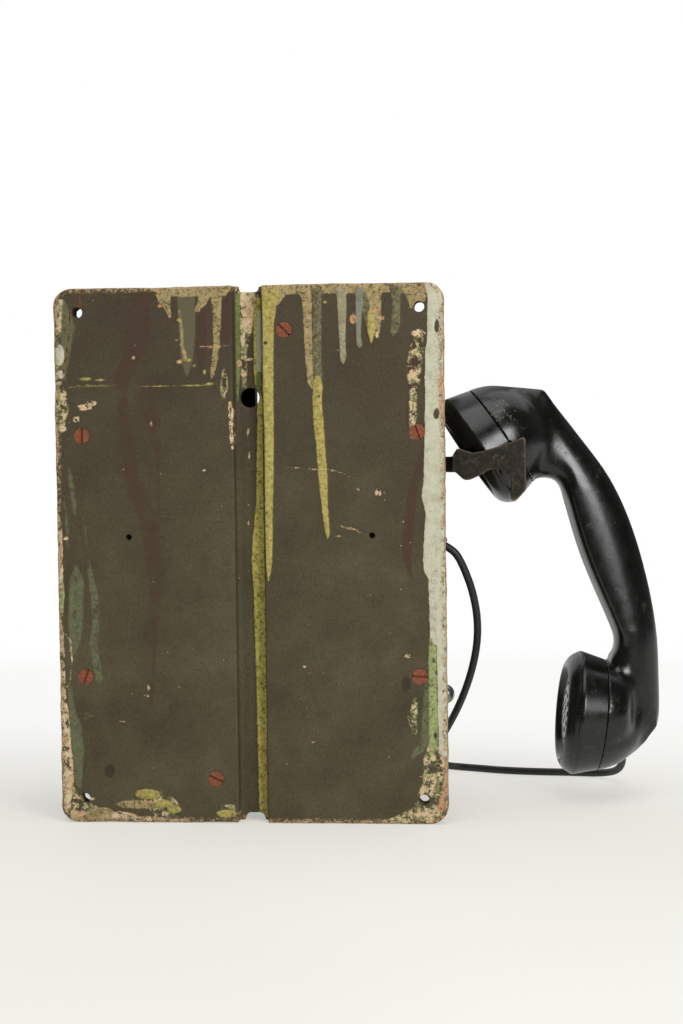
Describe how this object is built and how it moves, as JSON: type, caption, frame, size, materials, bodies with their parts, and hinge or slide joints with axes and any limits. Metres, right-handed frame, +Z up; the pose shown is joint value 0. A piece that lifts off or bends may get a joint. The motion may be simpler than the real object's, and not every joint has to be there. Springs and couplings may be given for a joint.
{
  "type": "field telephone",
  "caption": "Magneto field telephone: a painted wooden case on a grooved backboard, handset on a side fork hook with its cord, ringing crank, call button, bells and door.",
  "frame": {"origin": "centre of the four wall holes, on the backboard's flat back face", "axes": "+Z up, +X to the right seen from the front, the front faces -Y and the wall is at y = 0"},
  "size_m": [0.3311, 0.1579, 0.275],
  "materials": {
    "painted_wood": "chipped olive-brown paint",
    "rusty_steel": "rusty",
    "brass": "aged",
    "gear_brass": "satin",
    "bare_steel": "satin",
    "worn_iron": "dark, worn at the edges",
    "cast_iron": "black painted",
    "magnet_steel": "dull red enamel",
    "bakelite": "semi-gloss, scuffed",
    "tin": "dull tinned",
    "nickel": "worn nickel",
    "rubber": "matt",
    "enamelled_wire": "cloth and lacquer over wire",
    "card": "plain card sleeve"
  },
  "bodies": {
    "case": {"backboard": "painted_wood", "case_side_left": "painted_wood", "case_side_right": "painted_wood", "case_top": "painted_wood", "case_bottom": "painted_wood", "case_screws": "rusty_steel", "hinge_leaves_case": "brass", "hinge_pins": "brass", "terminal_screws": "brass", "gong_screws": "brass", "crank_bush": "brass", "button_contacts": "brass", "switch_blades": "brass", "door_strike": "bare_steel", "hook_pivot_pin": "bare_steel", "hook_bracket": "bare_steel", "ringer_yoke": "bare_steel", "induction_core": "bare_steel", "gong_posts": "bare_steel", "generator_end_plates": "bare_steel", "pole_pieces": "bare_steel", "hook_escutcheon": "worn_iron", "switch_insulators": "bakelite", "button_contact_block": "bakelite", "terminal_block": "bakelite", "ringer_coil_cheeks": "bakelite", "induction_cheeks": "bakelite", "capacitor": "tin", "cord_bush": "rubber", "handset_cord": "rubber", "button_bush": "nickel", "gong_left": "nickel", "gong_right": "nickel", "generator_base": "cast_iron", "generator_magnets": "magnet_steel", "ringer_magnet": "magnet_steel", "ringer_windings": "enamelled_wire", "induction_winding": "enamelled_wire", "dry_cells": "card", "battery_tray": "tin"},
    "hook": {"hook_fork": "worn_iron"},
    "handset": {"handset_body": "bakelite", "receiver_cap": "bakelite", "transmitter_cap": "bakelite", "receiver_capsule": "tin", "transmitter_capsule": "tin", "handset_cord_bush": "rubber"},
    "crank": {"crank_shaft": "bare_steel", "drive_gear": "gear_brass", "crank_arm": "nickel", "crank_grip_pin": "bare_steel"},
    "grip": {"crank_grip": "bakelite"},
    "armature": {"armature_core": "bare_steel", "armature_winding": "enamelled_wire", "armature_pinion": "bare_steel"},
    "button": {"push_button": "nickel"},
    "door": {"front_door": "painted_wood", "hinge_leaves_door": "brass"},
    "latch": {"door_screw": "brass"},
    "striker": {"clapper": "bare_steel"}
  },
  "joints": [
    {"name": "handset_lift", "type": "slide", "parent": "case", "child": "handset", "axis": [0, 0, 1], "range_m": [0, 0.04]},
    {"name": "hook_swing", "type": "hinge", "parent": "case", "child": "hook", "pos_m": [-0.07, -0.075, 0.0443], "axis": [0, 1, 0], "range_deg": [0, 10]},
    {"name": "crank_spin", "type": "hinge", "parent": "case", "child": "crank", "pos_m": [0.067, -0.058, -0.042], "axis": [1, 0, 0], "continuous": true},
    {"name": "grip_spin", "type": "hinge", "parent": "crank", "child": "grip", "pos_m": [0.0995, -0.08749, -0.06265], "axis": [1, 0, 0], "continuous": true},
    {"name": "armature_spin", "type": "hinge", "parent": "case", "child": "armature", "pos_m": [0.016, -0.058, -0.078], "axis": [1, 0, 0], "continuous": true},
    {"name": "button_push", "type": "slide", "parent": "case", "child": "button", "axis": [1, 0, 0], "range_m": [0, 0.003], "stiffness_N_per_m": 600, "springref_m": -0.001},
    {"name": "door_hinge", "type": "hinge", "parent": "case", "child": "door", "pos_m": [0.0949, -0.10415, 0], "axis": [0, 0, 1], "range_deg": [0, 100]},
    {"name": "door_screw_turn", "type": "hinge", "parent": "door", "child": "latch", "pos_m": [-0.072, -0.116, 0], "axis": [0, 1, 0], "continuous": true},
    {"name": "clapper_swing", "type": "hinge", "parent": "case", "child": "striker", "pos_m": [0, -0.034, 0.0497], "axis": [0, 1, 0], "range_deg": [-2.5, 2.5]}
  ],
  "couplings": [
    {"joint": "hook_swing", "follows": "handset_lift", "rad_per_m": 4.3633},
    {"joint": "armature_spin", "follows": "crank_spin", "ratio": -5}
  ]
}
